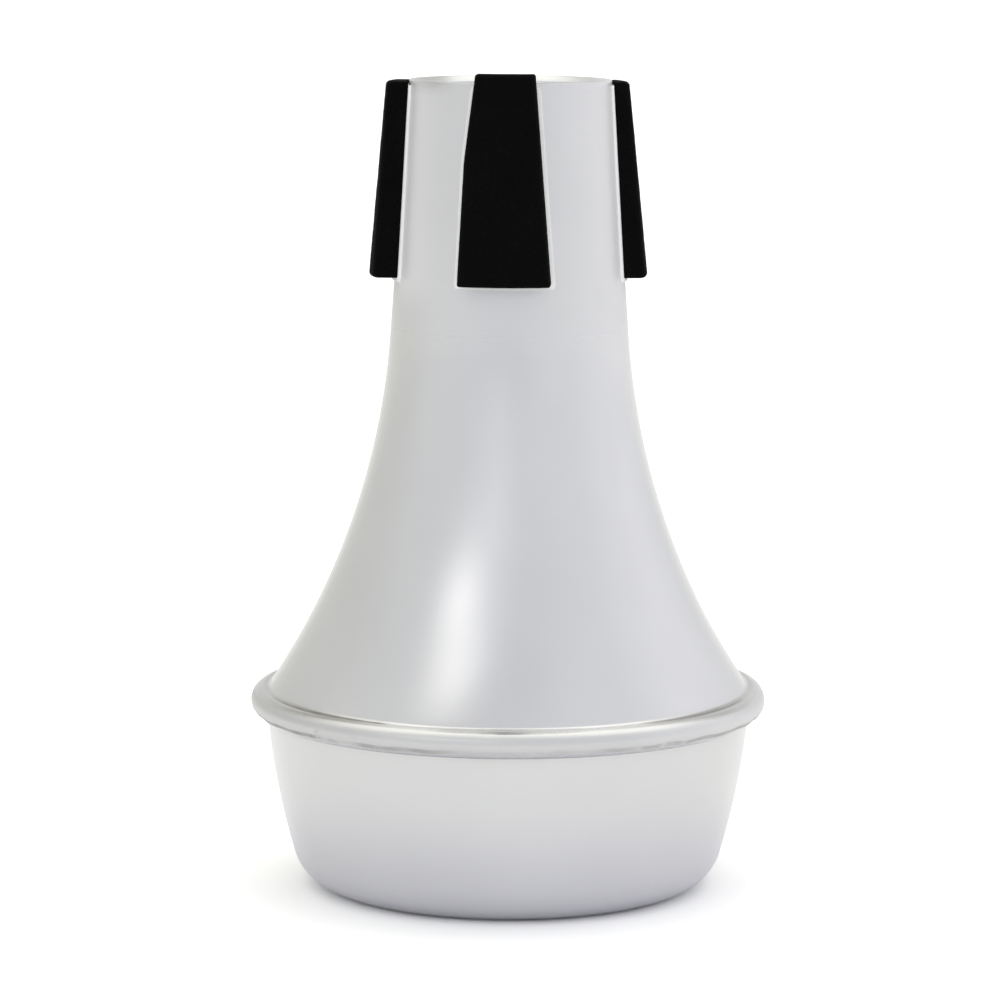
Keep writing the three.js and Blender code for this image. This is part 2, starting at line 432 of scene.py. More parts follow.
# Azimuth, and how far the top of the seam lies above its mean height there
SEAM_RISE = [
    (-180.0, 0.0),
    (-95.0, 0.0),
    (-65.0, -0.26),
    (65.0, -0.26),
    (82.0, 0.1),
    (95.0, 0.35),
    (130.0, 0.35),
    (160.0, 0.0),
    (180.0, 0.0),
]

# Height, and how much of the seam's rise the points there take
SEAM_RISE_SHARES = [(33.6, 0.0), (35.3, 1.0), (37.0, 1.0), (48.0, 0.0)]

# Waves of the flange's raw edge outward and up: seed, range of cycles round the axis, count.
# They fade out over the face of the bead, from the edge up.
EDGE_LIFT_WAVE = (5, 14, 90, 9)
EDGE_DROP_WAVE = (6, 6, 60, 8)
EDGE_WAVE_SIZE = 0.07
EDGE_WAVE_END = math.radians(20)
EDGE_WAVE_FADE = math.radians(50)

# Breaks in the lines of painted shade: seed of the first, range of cycles round the axis and count,
# contrast, and the least and the most that is left of each line
PAINTED_SHADE_SEED = 9
PAINTED_SHADE_WAVE = (9, 70, 9)
PAINTED_SHADE_CONTRAST = 1.4
EDGE_PAINTED_SHADE_RANGE = (0.7, 1.0)
CREASE_PAINTED_SHADE_RANGE = (0.8, 1.0)
CURL_PAINTED_SHADE_RANGE = (0.7, 1.0)

# Turn round the bead in degrees over which its dull face ends
DULL_TURNS = (36, 50)

# Turn round the curl in degrees, and how dark the painted shade on the curl is there, under the
# flange
CURL_PAINTED_SHADE = [
    (-90, 0.4),
    (-75, 0.25),
    (-60, 0.14),
    (-36, 0.16),
    (-26, 0.9),
    (0, 1.0),
    (20, 0.0),
]

# Azimuth, and how dark the painted shade on the face of the bead is there
BEAD_PAINTED_SHADE = [
    (-180.0, 0.05),
    (-66.0, 0.14),
    (-36.0, 0.14),
    (-27.0, 0.1),
    (0.0, 0.1),
    (26.0, 0.09),
    (34.0, 0.03),
    (180.0, 0.02),
]

# Azimuth, and how dark the painted shade on the top of the neck is there, and the heights over which
# that starts
RIM_PAINTED_SHADE = [
    (-180.0, 0.0),
    (-144.0, 0.0),
    (-134.0, 0.3),
    (-100.0, 0.35),
    (-72.0, 0.24),
    (-48.0, 0.3),
    (-38.0, 0.1),
    (-30.0, 0.0),
    (180.0, 0.0),
]
RIM_PAINTED_SHADE_HEIGHTS = (142.3, 144.0)

# Azimuth, and how dull the crease above the bead is there, and how far the dullness reaches
CREASE_DULL = [(-180.0, 0.0), (-19.0, 0.0), (-12.0, 1.0), (12.0, 1.0), (19.0, 0.0), (180.0, 0.0)]
CREASE_DULL_REACH = 0.7

# Heights over which the neck turns dull
NECK_DULL_HEIGHTS = (96.0, 110.0)

# A matte patch on the neck beside the side pads, whose colour paints the metal's bright reflection
# in place of the foam's dark one: how far from a pad's edge it ends, over what width it fades, and
# how strong it is
REFLECTION_PATCH_REACH = 10.5
REFLECTION_PATCH_FADE = 6.5
REFLECTION_PATCH_SHARE = 0.85

# Azimuth, and how dark the line of painted shade in the gap under the raw edge is there. The line
# takes in the edge's first points on the outside, by the shares, and its last points on the inside.
EDGE_PAINTED_SHADE = [
    (-180.0, 0.45),
    (-84.0, 0.45),
    (-80.0, 0.65),
    (-48.4, 0.65),
    (-46.8, 0.3),
    (-44.2, 0.1),
    (-42.6, 0.3),
    (-41.2, 0.3),
    (-39.6, 0.05),
    (-36.0, 0.05),
    (-33.8, 0.42),
    (-16.0, 0.42),
    (-11.0, 0.1),
    (18.0, 0.1),
    (23.0, 0.28),
    (28.0, 0.3),
    (29.5, 0.04),
    (31.0, 0.3),
    (34.5, 0.3),
    (35.8, 0.04),
    (37.2, 0.32),
    (40.5, 0.32),
    (41.8, 0.04),
    (43.2, 0.45),
    (79.0, 0.5),
    (84.0, 0.4),
    (180.0, 0.45),
]
OUTER_EDGE_SHARES = (1.0, 0.5)
INNER_EDGE_POINTS = 8

# Azimuth, and how dark the painted shade on the cup is there close under its curl, and the
# heights over which that starts
CUP_PAINTED_SHADE = [(-180.0, 0.02), (-9.0, 0.02), (-7.0, 0.07), (7.0, 0.07), (10.0, 0.02), (180.0, 0.02)]
CUP_PAINTED_SHADE_HEIGHTS = (29.3, 30.6)

# Azimuth, how dark the painted shade in the crease above the bead is there, and how wide the dark
# line is
CREASE_PAINTED_SHADE = [
    (-180.0, 0.35, 0.7),
    (-76.0, 0.35, 0.5),
    (-64.0, 0.9, 0.55),
    (-30.8, 1.0, 0.55),
    (-27.5, 0.0, 0.5),
    (-13.0, 0.0, 0.4),
    (-8.0, 0.0, 0.3),
    (-6.6, 0.3, 0.35),
    (-5.2, 0.0, 0.3),
    (9.0, 0.0, 0.3),
    (13.0, 0.0, 0.4),
    (31.0, 0.0, 0.6),
    (36.5, 0.7, 0.6),
    (66.0, 0.75, 0.6),
    (78.0, 0.2, 0.5),
    (180.0, 0.35, 0.7),
]


def mark(piece, name, rows):
    """Stores a share at each point, such as how much painted shade it takes, for the metal's
    material.
    """
    layer = piece.data.attributes.new(name, "FLOAT", "POINT")
    values = np.zeros(len(piece.data.vertices), np.float32)
    values[: rows.size] = rows.reshape(-1)
    layer.data.foreach_set("value", values)


def broken(seed, low, high):
    """A share round the axis that swings between two values, for an uneven line."""
    wave = 0.5 + 0.5 * np.clip(PAINTED_SHADE_CONTRAST * ripple(seed, *PAINTED_SHADE_WAVE), -1, 1)
    return low + (high - low) * wave


def pad_width_at(share):
    """The width of a pad without its bulges, at a share of its height."""
    return PAD_BOTTOM_WIDTH + (PAD_TOP_WIDTH - PAD_BOTTOM_WIDTH) * share


def painted_reflection_patch(rows):
    """How much of the matte patch of painted reflection the neck takes at each point, from its
    distance to the side pads.
    """
    reflection_share = np.zeros(rows.shape[:2])
    x, y, z = np.moveaxis(rows, 2, 0)
    for pad in (LEFT_PAD, RIGHT_PAD):
        aside = abs(x * math.cos(pad["azimuth"]) + y * math.sin(pad["azimuth"]))
        outward = x * math.sin(pad["azimuth"]) - y * math.cos(pad["azimuth"])
        rise = z - pad["top"] + pad["length"]
        edge = pad_width_at(np.clip(rise / pad["length"], 0, 1)) / 2
        beside = np.clip((edge + REFLECTION_PATCH_REACH - aside) / REFLECTION_PATCH_FADE, 0, 1)
        above = np.clip((rise + REFLECTION_PATCH_FADE) / REFLECTION_PATCH_FADE, 0, 1)
        reflection_share = np.maximum(reflection_share, np.where(outward > 0, beside * above, 0.0))
    return reflection_share * reflection_share * (3 - 2 * reflection_share) * REFLECTION_PATCH_SHARE


def crease_distance(profile, places):
    """How far the points of the bead and its fillet lie from the line where the two meet."""
    return np.linalg.norm(profile[places["crease"]] - profile[places["bead"]][-1], axis=1)


def body_painted_shade(profile, places):
    """How much painted shade the body takes at each point: at its raw edge, its crease, its bead and
    its rim.
    """
    edge_line_share = np.zeros(len(profile))
    edge_line_share[: len(OUTER_EDGE_SHARES)] = OUTER_EDGE_SHARES
    edge_line_share[-INNER_EDGE_POINTS:] = 1.0
    darkened = np.outer(edge_line_share, by_azimuth(EDGE_PAINTED_SHADE) * broken(PAINTED_SHADE_SEED, *EDGE_PAINTED_SHADE_RANGE))
    bead, crease = places["bead"], places["crease"]
    away = crease_distance(profile, places)
    spread = np.exp(-((away[:, None] / by_azimuth(CREASE_PAINTED_SHADE, 2)[None, :]) ** 2))
    strength = by_azimuth(CREASE_PAINTED_SHADE) * broken(PAINTED_SHADE_SEED + 1, *CREASE_PAINTED_SHADE_RANGE)
    darkened[crease] = np.maximum(darkened[crease], spread * strength)
    darkened[bead] = np.maximum(darkened[bead], by_azimuth(BEAD_PAINTED_SHADE))
    near_rim = np.interp(profile[:, 1], RIM_PAINTED_SHADE_HEIGHTS, [0.0, 1.0])
    return darkened + np.outer(near_rim, by_azimuth(RIM_PAINTED_SHADE))


def body_dullness(profile, places, turns):
    """How dull the body is at each point: the face of its bead, its crease and its neck."""
    bead = places["bead"]
    dull = np.zeros(len(profile))
    dull[bead] = np.interp(turns[bead], np.radians(DULL_TURNS), [1.0, 0.0])
    dull += np.interp(profile[:, 1], NECK_DULL_HEIGHTS, [0.0, 1.0])
    dull[places["lip"]] = 0.0
    dulled = np.outer(dull, np.ones(COLUMNS))
    in_crease = np.exp(-((crease_distance(profile, places) / CREASE_DULL_REACH) ** 2))
    dulled[places["crease"]] += np.outer(in_crease, by_azimuth(CREASE_DULL))
    return dulled


def make_body():
    profile, places = body_profile()
    turns = np.arctan2(profile[:, 1] - BEAD_HEIGHT, profile[:, 0] - BEAD_CENTRE[0])
    near_edge = np.clip((EDGE_WAVE_END - turns) / EDGE_WAVE_FADE, 0, 1) ** 2
    at_flange = np.zeros(len(profile))
    for place in (places["bead"], places["flange"]):
        at_flange[place] = near_edge[place]
    lift = np.clip(ripple(*EDGE_LIFT_WAVE), 0, None) * EDGE_WAVE_SIZE
    drop = ripple(*EDGE_DROP_WAVE) * EDGE_WAVE_SIZE
    rows = turned_rows(profile, BEAD_DENTS, np.outer(at_flange, lift), np.outer(at_flange, drop))
    faces = []
    for row in range(len(profile)):
        faces += row_quads(row * COLUMNS, (row + 1) % len(profile) * COLUMNS)
    piece = new_object("spun_body", rows.reshape(-1, 3), faces, METAL_SHARP_TURN)
    # A matte patch of painted reflection beside the side pads, on the outside only
    reflection_share = painted_reflection_patch(rows)
    reflection_share[places["inner"]] = 0.0
    # Painted shade at the raw edge, crease, bead and rim, kept for the metal's colour
    mark(piece, "painted_shade", body_painted_shade(profile, places))
    mark(piece, "dull", body_dullness(profile, places, turns))
    mark(piece, "painted_reflection", reflection_share)
    inner_faces = np.arange(len(faces)) >= places["inner"].start * COLUMNS
    piece.data.polygons.foreach_set("material_index", inner_faces.astype(np.int32))
    return piece


def cup_painted_shade(rings, curl):
    """How much painted shade the cup takes at each point: on its curl and close under it."""
    turns = np.arctan2(
        (rings[curl, 1] - CURL_CENTRE[1]) / CURL_HALF_HEIGHT,
        (rings[curl, 0] - CURL_CENTRE[0]) / CURL_HALF_WIDTH,
    )
    curl_turns, curl_darkness = np.transpose(CURL_PAINTED_SHADE)
    on_curl = np.zeros(len(rings))
    on_curl[curl] = np.interp(turns, np.radians(curl_turns), curl_darkness)
    darkened = np.outer(on_curl, broken(PAINTED_SHADE_SEED + 2, *CURL_PAINTED_SHADE_RANGE))
    wall_heights = rings[: curl.start, 1]
    on_wall = np.interp(wall_heights, CUP_PAINTED_SHADE_HEIGHTS, [0.0, 1.0])
    on_wall[wall_heights > CURL_BOTTOM + SHEET] = 0.0
    darkened[: curl.start] += np.outer(on_wall, by_azimuth(CUP_PAINTED_SHADE))
    return darkened


def make_cup():
    """The cup, whose profile's two ends on the axis are single points."""
    profile, curl_start, inner_start = cup_profile()
    rings = profile[1:-1]
    rows = turned_rows(rings, CUP_DENTS)
    vertices = [*rows.reshape(-1, 3), (0, 0, 0), (0, 0, SHEET)]
    lower_pole, upper_pole = len(vertices) - 2, len(vertices) - 1
    last_row = (len(rings) - 1) * COLUMNS
    faces = []
    for row in range(len(rings) - 1):
        faces += row_quads(row * COLUMNS, (row + 1) * COLUMNS)
    inner = list(range(inner_start * COLUMNS, len(faces)))
    for step in range(COLUMNS):
        following = (step + 1) % COLUMNS
        faces.append((lower_pole, following, step))
        inner.append(len(faces))
        faces.append((upper_pole, last_row + step, last_row + following))
    piece = new_object("spun_cup", vertices, faces, METAL_SHARP_TURN)
    # Painted shade on the curl and close under it, kept for the metal's colour
    mark(piece, "painted_shade", cup_painted_shade(rings, slice(curl_start - 1, inner_start - 1)))
    slots = np.zeros(len(faces), np.int32)
    slots[inner] = 1
    piece.data.polygons.foreach_set("material_index", slots)
    return piece


def stops(length, round_size, step):
    """Distances along a strip, closer together over its two rounded ends."""
    turn = np.linspace(0, math.pi / 2, ROUND_STEPS + 1)
    ends = round_size * (1 - np.cos(turn))
    count = max(2, round((length - 2 * round_size) / step))
    middle = np.linspace(round_size, length - round_size, count + 1)[1:-1]
    return np.concatenate([ends, middle, (length - ends)[::-1]])


def strip_grid(pad, low, high, margin, thicknesses, lift, edge, crown, step):
    """Inner and outer rows of points of a strip that wraps the neck, in the pad's own turn."""
    length = high - low
    full_length = pad["length"]
    foot = pad["top"] - full_length
    inner_rows, outer_rows = [], []
    middle_count = len(stops(PAD_BOTTOM_WIDTH + 2 * margin, edge, step)) - 2 * ROUND_STEPS - 1
    for rise in stops(length, edge, step):
        height = low + rise
        share = min(max((height - foot) / full_length, 0), 1)
        half = pad_width_at(share) / 2 + margin
        from_end = min(rise, length - rise)
        tuck = max(PAD_OUTLINE_ROUND - from_end, 0)
        half -= PAD_OUTLINE_ROUND - math.sqrt(PAD_OUTLINE_ROUND**2 - tuck**2)
        left = -half - np.interp(share, *zip(*pad["left_bulge"]))
        right = half + np.interp(share, *zip(*pad["right_bulge"]))
        width = right - left
        ends = stops(width, edge, (width - 2 * edge) / middle_count)
        thickness = thicknesses[0] + (thicknesses[1] - thicknesses[0]) * share
        base = body_radius_at(height) + lift
        side = np.minimum(ends, width - ends)
        side_reach = np.clip(edge - side, 0, None)
        end_reach = max(edge - from_end, 0)
        drop = edge - np.sqrt(np.clip(edge**2 - side_reach**2 - end_reach**2, 0, None))
        swell = crown * (1 - (2 * ends / width - 1) ** 2)
        across = left + ends
        outer_radius = base + thickness - drop - crown + swell
        for rows, radius in ((inner_rows, base), (outer_rows, outer_radius)):
            back = np.sqrt(radius**2 - across**2)
            rows.append(np.stack([across, -back, np.full_like(across, height)], axis=1))
    return np.array(inner_rows), np.array(outer_rows)


def slab(name, inner, outer, azimuth):
    """A closed slab between two matching grids, turned to its place round the neck."""
    row_count, column_count = inner.shape[:2]
    vertices = np.concatenate([inner.reshape(-1, 3), outer.reshape(-1, 3)])
    shift = row_count * column_count
    faces = []
    for row in range(row_count - 1):
        for column in range(column_count - 1):
            a = row * column_count + column
            b, c, d = a + 1, a + column_count + 1, a + column_count
            faces.append((a + shift, b + shift, c + shift, d + shift))
            faces.append((d, c, b, a))
    border = list(range(column_count - 1))
    border += [row * column_count + column_count - 1 for row in range(row_count - 1)]
    border += [shift - 1 - column for column in range(column_count - 1)]
    border += [(row_count - 1 - row) * column_count for row in range(row_count - 1)]
    for here, following in zip(border, border[1:] + border[:1]):
        faces.append((here, following, following + shift, here + shift))
    turned = vertices @ np.array(Matrix.Rotation(azimuth, 3, "Z")).T
    return new_object(name, turned, faces, STRIP_SHARP_TURN)


def make_tape(pad):
    low = pad["top"] - pad["length"] - TAPE_MARGIN
    high = min(pad["top"], RIM_HEIGHT) - TAPE_MARGIN
    inner, outer = strip_grid(
        pad,
        low,
        high,
        TAPE_MARGIN,
        (TAPE_THICKNESS, TAPE_THICKNESS),
        GLUE_LINE,
        TAPE_ROUND,
        0.0,
        TAPE_STEP,
    )
    return slab("backing_" + pad["place"], inner, outer, pad["azimuth"])


def foam_relief(point):
    """How far the foam's surface stands out at a point: soft swells, less its open pores."""
    swell = sum(depth * noise.noise(point * repeats) for repeats, depth in FOAM_SWELLS)
    pore = min(0.0, noise.noise(point * PORE_REPEATS) + PORE_RARITY) * PORE_DEPTH
    return swell + pore


def make_foam(pad):
    low = pad["top"] - pad["length"]
    closed_gap = 2 * (BOND_GAP - GLUE_LINE)
    bottom_thickness = PAD_BOTTOM_THICKNESS - pad["squeeze"][0]
    top_thickness = PAD_TOP_THICKNESS - pad["squeeze"][1]
    inner, outer = strip_grid(
        pad,
        low,
        pad["top"],
        0.0,
        (bottom_thickness + closed_gap, top_thickness + closed_gap),
        GLUE_LINE + TAPE_THICKNESS + GLUE_LINE,
        PAD_ROUND,
        PAD_CROWN,
        PAD_STEP,
    )
    outward = outer * [1, 1, 0]
    outward /= np.linalg.norm(outward, axis=2, keepdims=True)
    shift = Vector((pad["azimuth"] * FOAM_SHIFT, 0, 0))
    for row in range(outer.shape[0]):
        for column in range(outer.shape[1]):
            relief = foam_relief(Vector(outer[row, column]) + shift)
            outer[row, column] += outward[row, column] * relief
    return slab("foam_" + pad["place"], inner, outer, pad["azimuth"])


class Nodes:
    """Short calls for building a node tree."""

    def __init__(self, tree):
        self.tree = tree
        tree.nodes.clear()

    def add(self, kind, settings=None, inputs=None):
        made = self.tree.nodes.new(kind)
        for name, value in (settings or {}).items():
            setattr(made, name, value)
        for name, value in (inputs or {}).items():
            self.feed(made.inputs[name], value)
        return made

    def feed(self, socket, value):
        """Links a socket to another one, or sets it to a plain value."""
        if isinstance(value, bpy.types.NodeSocket):
            self.tree.links.new(value, socket)
        else:
            socket.default_value = value

    def math(self, operation, first, second=0.0, third=0.0):
        made = self.add("ShaderNodeMath", {"operation": operation}, {0: first, 1: second, 2: third})
        return made.outputs[0]

    def spread(self, value, low, high, to_low=0.0, to_high=1.0, smooth=False):
        """value taken from one range to another, and held at its ends."""
        made = self.add(
            "ShaderNodeMapRange",
            {"interpolation_type": "SMOOTHSTEP" if smooth else "LINEAR", "clamp": True},
            {"Value": value, "From Min": low, "From Max": high, "To Min": to_low, "To Max": to_high},
        )
        return made.outputs["Result"]

    def blend(self, share, first, second):
        """A colour between two others. Its sockets go by number, as their names aren't unique."""
        made = self.add("ShaderNodeMix", {"data_type": "RGBA"}, {0: share, 6: first, 7: second})
        return made.outputs[2]

    def dot(self, first, second):
        made = self.add("ShaderNodeVectorMath", {"operation": "DOT_PRODUCT"}, {0: first, 1: second})
        return made.outputs["Value"]

    def scale(self, vector, factor):
        made = self.add("ShaderNodeVectorMath", {"operation": "SCALE"}, {0: vector, "Scale": factor})
        return made.outputs[0]

    def noise(self, vector, scale, detail, roughness=0.5):
        made = self.add(
            "ShaderNodeTexNoise",
            None,
            {"Vector": vector, "Scale": scale, "Detail": detail, "Roughness": roughness},
        )
        return made.outputs["Fac"]

    def cells(self, vector, scale):
        """Random cells: how far each point is from its cell's middle, and the cell's colour."""
        made = self.add("ShaderNodeTexVoronoi", {"feature": "F1"}, {"Vector": vector, "Scale": scale})
        return made.outputs["Distance"], made.outputs["Color"]

    def stored(self, name):
        """A share that the mesh keeps at each point."""
        return self.add("ShaderNodeAttribute", {"attribute_name": name}).outputs["Fac"]

    def bump(self, strength, distance, height):
        inputs = {"Strength": strength, "Distance": distance, "Height": height}
        return self.add("ShaderNodeBump", None, inputs).outputs[0]

    def finish(self, shader):
        self.add("ShaderNodeOutputMaterial", None, {"Surface": shader.outputs[0]})


def new_material(name):
    """A material, its empty node tree, and the place in the object that its nodes read."""
    material = bpy.data.materials.new(name)
    material.use_nodes = True
    nodes = Nodes(material.node_tree)
    return material, nodes, nodes.add("ShaderNodeTexCoord").outputs["Object"]


# Textures of the metal: repeats to a metre, and the ranges of noise and of brightness
RING_REPEATS = 1500.0
RING_SLOPE = 0.62
RING_NOISE = (0.2, 0.8)
RING_SHADES = (0.995, 1.005)
CLOUD_REPEATS = 22.0
CLOUD_NOISE = (0.3, 0.7)
CLOUD_SHADES = (0.985, 1.012)
MOTTLE_REPEATS = 85.0
MOTTLE_NOISE = (0.3, 0.7)
MOTTLE_SHADES = (-0.009, 0.009)
GLOSS_NOISE = (0.25, 0.75)
GLOSS_SWING = 0.004
GRAIN_REPEATS = 4200.0
GRAIN_RELIEF = 0.25
PIT_REPEATS = 140.0
PIT_EDGE = (0.02, 0.08)
PIT_CHOICE = 0.965
PIT_SHADE = 0.88
PIT_RELIEF = -2.0
METAL_BUMP = (0.1, 0.00003)
DULL_ROUGHNESS = 0.2
# Colour of a matte patch that paints the metal's bright reflection beside the side pads
PAINTED_REFLECTION_TONE = (0.73, 0.73, 0.738, 1.0)
# Colour of the painted shade that darkens the metal at its seams, bead, rim and curl
PAINTED_SHADE_TONE = (0.19, 0.18, 0.155, 1.0)


def aluminium(name, tone, roughness, metallic):
    """Spun aluminium: faint turning rings, a soft mottle, sparse pits, and painted shade in the seams
    and on the bead, rim and curl.
    """
    material, nodes, place = new_material(name)
    parts = nodes.add("ShaderNodeSeparateXYZ", None, {0: place})
    x, y, z = parts.outputs
    across = nodes.math("MULTIPLY_ADD", y, y, nodes.math("MULTIPLY", x, x))
    spin = nodes.math("MULTIPLY_ADD", nodes.math("SQRT", across), RING_SLOPE, z)
    rings = nodes.add(
        "ShaderNodeTexNoise",
        {"noise_dimensions": "1D"},
        {"W": spin, "Scale": RING_REPEATS, "Detail": 2.0, "Roughness": 0.6},
    ).outputs["Fac"]
    mottle = nodes.noise(place, MOTTLE_REPEATS, 3.0)
    cloud = nodes.noise(place, CLOUD_REPEATS, 2.0)
    grain = nodes.noise(place, GRAIN_REPEATS, 2.0)
    distance, cell_colour = nodes.cells(place, PIT_REPEATS)
    chosen = nodes.add("ShaderNodeSeparateColor", None, {0: cell_colour}).outputs[0]
    near = nodes.spread(distance, *PIT_EDGE, 1.0, 0.0, True)
    pits = nodes.math("MULTIPLY", near, nodes.math("GREATER_THAN", chosen, PIT_CHOICE))
    shade = nodes.math(
        "ADD",
        nodes.spread(cloud, *CLOUD_NOISE, *CLOUD_SHADES),
        nodes.spread(mottle, *MOTTLE_NOISE, *MOTTLE_SHADES),
    )
    shade = nodes.math("MULTIPLY", shade, nodes.spread(rings, *RING_NOISE, *RING_SHADES))
    shade = nodes.math("MULTIPLY", shade, nodes.spread(pits, 0.0, 1.0, 1.0, PIT_SHADE))
    # Beside the side pads the metal gives way to a matte colour that paints its bright reflection in
    # place of the foam's dark one
    reflection_share = nodes.stored("painted_reflection")
    patched_tone = nodes.blend(reflection_share, nodes.scale(tone, shade), PAINTED_REFLECTION_TONE)
    gloss = nodes.math(
        "ADD",
        nodes.spread(mottle, *GLOSS_NOISE, roughness - GLOSS_SWING, roughness + GLOSS_SWING),
        nodes.spread(nodes.stored("dull"), 0.0, 1.0, 0.0, DULL_ROUGHNESS),
    )
    fine_relief = nodes.math("MULTIPLY", grain, GRAIN_RELIEF)
    relief = nodes.math("MULTIPLY_ADD", pits, PIT_RELIEF, fine_relief)
    # The base colour is darkened towards the painted shade colour by the stored share of painted
    # shade
    shader = nodes.add(
        "ShaderNodeBsdfPrincipled",
        None,
        {
            "Base Color": nodes.blend(nodes.stored("painted_shade"), patched_tone, PAINTED_SHADE_TONE),
            "Metallic": nodes.spread(reflection_share, 0.0, 1.0, metallic, 0.0),
            "Roughness": gloss,
            "Normal": nodes.bump(*METAL_BUMP, relief),
        },
    )
    nodes.finish(shader)
    return material


# Textures of the foam: repeats to a metre, and the ranges of noise, shade and roughness
FOAM_CELL_REPEATS = 3400.0
FOAM_CELL_EDGE = (0.2, 0.75)
FOAM_GRAIN_REPEATS = 8200.0
FOAM_GRAIN_EDGE = (0.15, 0.7)
FOAM_GRAIN_RELIEF = 0.4
FOAM_CLOUD_REPEATS = 160.0
FOAM_CLOUD_NOISE = (0.3, 0.7)
FOAM_CLOUD_SHADES = (0.3, 1.0)
FOAM_BUMP = (0.5, 0.00006)
FOAM_ROUGHNESS = (0.98, 0.86)
FOAM_SPECULAR = 0.07
FOAM_PORE_TONE = (0.0010, 0.0010, 0.0012, 1.0)
FOAM_WALL_TONE = (0.0032, 0.0032, 0.0036, 1.0)


def foam():
    """Closed-cell foam: near black, with fine pores and slightly paler cell walls."""
    material, nodes, place = new_material("black_foam_pores")
    wall = nodes.spread(nodes.cells(place, FOAM_CELL_REPEATS)[0], *FOAM_CELL_EDGE)
    grain = nodes.spread(nodes.cells(place, FOAM_GRAIN_REPEATS)[0], *FOAM_GRAIN_EDGE)
    cloud = nodes.noise(place, FOAM_CLOUD_REPEATS, 3.0)
    cloudy = nodes.spread(cloud, *FOAM_CLOUD_NOISE, *FOAM_CLOUD_SHADES)
    pale = nodes.math("MULTIPLY", wall, cloudy)
    relief = nodes.math("MULTIPLY_ADD", grain, FOAM_GRAIN_RELIEF, wall)
    shader = nodes.add(
        "ShaderNodeBsdfPrincipled",
        None,
        {
            "Base Color": nodes.blend(pale, FOAM_PORE_TONE, FOAM_WALL_TONE),
            "Roughness": nodes.spread(grain, 0.0, 1.0, *FOAM_ROUGHNESS),
            "Specular IOR Level": FOAM_SPECULAR,
            "Normal": nodes.bump(*FOAM_BUMP, relief),
        },
    )
    nodes.finish(shader)
    return material


# Textures of the tape: repeats to a metre, and the ranges of noise and roughness
TAPE_FIBRE_REPEATS = 2600.0
TAPE_FIBRE_NOISE = (0.2, 0.8)
TAPE_ROUGHNESS = (0.5, 0.68)
TAPE_CLOUD_REPEATS = 210.0
TAPE_CLOUD_NOISE = (0.3, 0.75)
TAPE_BUMP = (0.3, 0.00004)
TAPE_SOILED_TONE = (0.92, 0.92, 0.9, 1.0)
TAPE_CLEAN_TONE = (0.97, 0.97, 0.96, 1.0)


def tape():
    """White double-sided tape with a faint fibre and slightly soiled patches."""
    material, nodes, place = new_material("white_tape_fibre")
    fibre = nodes.noise(place, TAPE_FIBRE_REPEATS, 4.0, 0.7)
    cloud = nodes.noise(place, TAPE_CLOUD_REPEATS, 3.0)
    clean = nodes.spread(cloud, *TAPE_CLOUD_NOISE)
    shader = nodes.add(
        "ShaderNodeBsdfPrincipled",
        None,
        {
            "Base Color": nodes.blend(clean, TAPE_SOILED_TONE, TAPE_CLEAN_TONE),
            "Roughness": nodes.spread(fibre, *TAPE_FIBRE_NOISE, *TAPE_ROUGHNESS),
            "Normal": nodes.bump(*TAPE_BUMP, fibre),
        },
    )
    nodes.finish(shader)
    return material


# The studio's even tone, and its soft panels of added or missing light. Each panel has
# the azimuth and elevation of its middle, its half width and half height in degrees, how
# steep its border is, and what it adds. Azimuth 0 is the camera's side, and a positive one
# lies to the right.
STUDIO_TONE = (0.893, 0.899, 0.924)
STUDIO_PANELS = [
    (-130, 14, 66, 80, 1, (-0.095, -0.10, -0.156)),
    (113, 18, 39, 33, 1, (0.225, 0.215, 0.239)),
    (-34.5, 36.2, 12, 5.4, 1, (1.05, 1.03, 1.02)),
    (-35, 46, 12.6, 3.3, 1, (1.0, 0.97, 0.92)),
    (-10, 31, 14, 25.6, 1, (0.17, 0.17, 0.17)),
    (-7, 50, 21, 17, 1, (-0.20, -0.20, -0.19)),
    (-7.5, -13.7, 25, 20, 1, (-0.25, -0.23, -0.19)),
    (180, 5, 80, 50, 1, (-0.10, -0.10, -0.11)),
    (180, 73, 45, 25, 3, (0.82, 0.80, 0.69)),
    (-108, 44, 22, 16, 1, (-0.06, -0.06, -0.06)),
    (108, 46, 22, 14, 1, (-0.05, -0.05, -0.05)),
    (-158, 38, 14, 10, 1, (-0.42, -0.44, -0.50)),
    (150, 34, 16, 11, 1, (-0.36, -0.37, -0.42)),
    (180, -2, 22, 7, 1, (0.20, 0.20, 0.18)),
]

# The panels close enough to the horizon, whose light and shade are painted into the far floor's
# colour
HORIZON_SPAN = 32
HORIZON_PANELS = [panel for panel in STUDIO_PANELS if abs(panel[1]) < HORIZON_SPAN]

# The floor: its size in metres, the distances over which its colour takes the studio's light and
# shade, painted in, how bright it is, as a mirrored and as a seen thing too, and the painted contact
# shade that mirrored rays see on it close to the mute
FLOOR_SIDES = 128
FLOOR_RADIUS = 30.0
FLOOR_FADE = (0.3, 0.9)
FLOOR_SHARE = 0.86
FLOOR_MIRRORED_SHARE = 1.04
FLOOR_SEEN_SHARE = 1.25
FLOOR_TONE = (1.0, 1.0, 1.0, 1.0)
FLOOR_PAINTED_SHADE_TONE = (0.94, 0.94, 0.985, 1.0)
FLOOR_PAINTED_SHADE_FADE = (0.045, 0.09)

# The camera, fitted to the outline of the mute: place, turns, and lens
CAMERA_PLACE = (-1.47, -780.0, 177.89)
CAMERA_DIP = 0.1384
CAMERA_ROLL = math.radians(0.25)
CAMERA_SENSOR = 36.0
CAMERA_LENS = 158.38
CAMERA_CLIP = (0.05, 50.0)


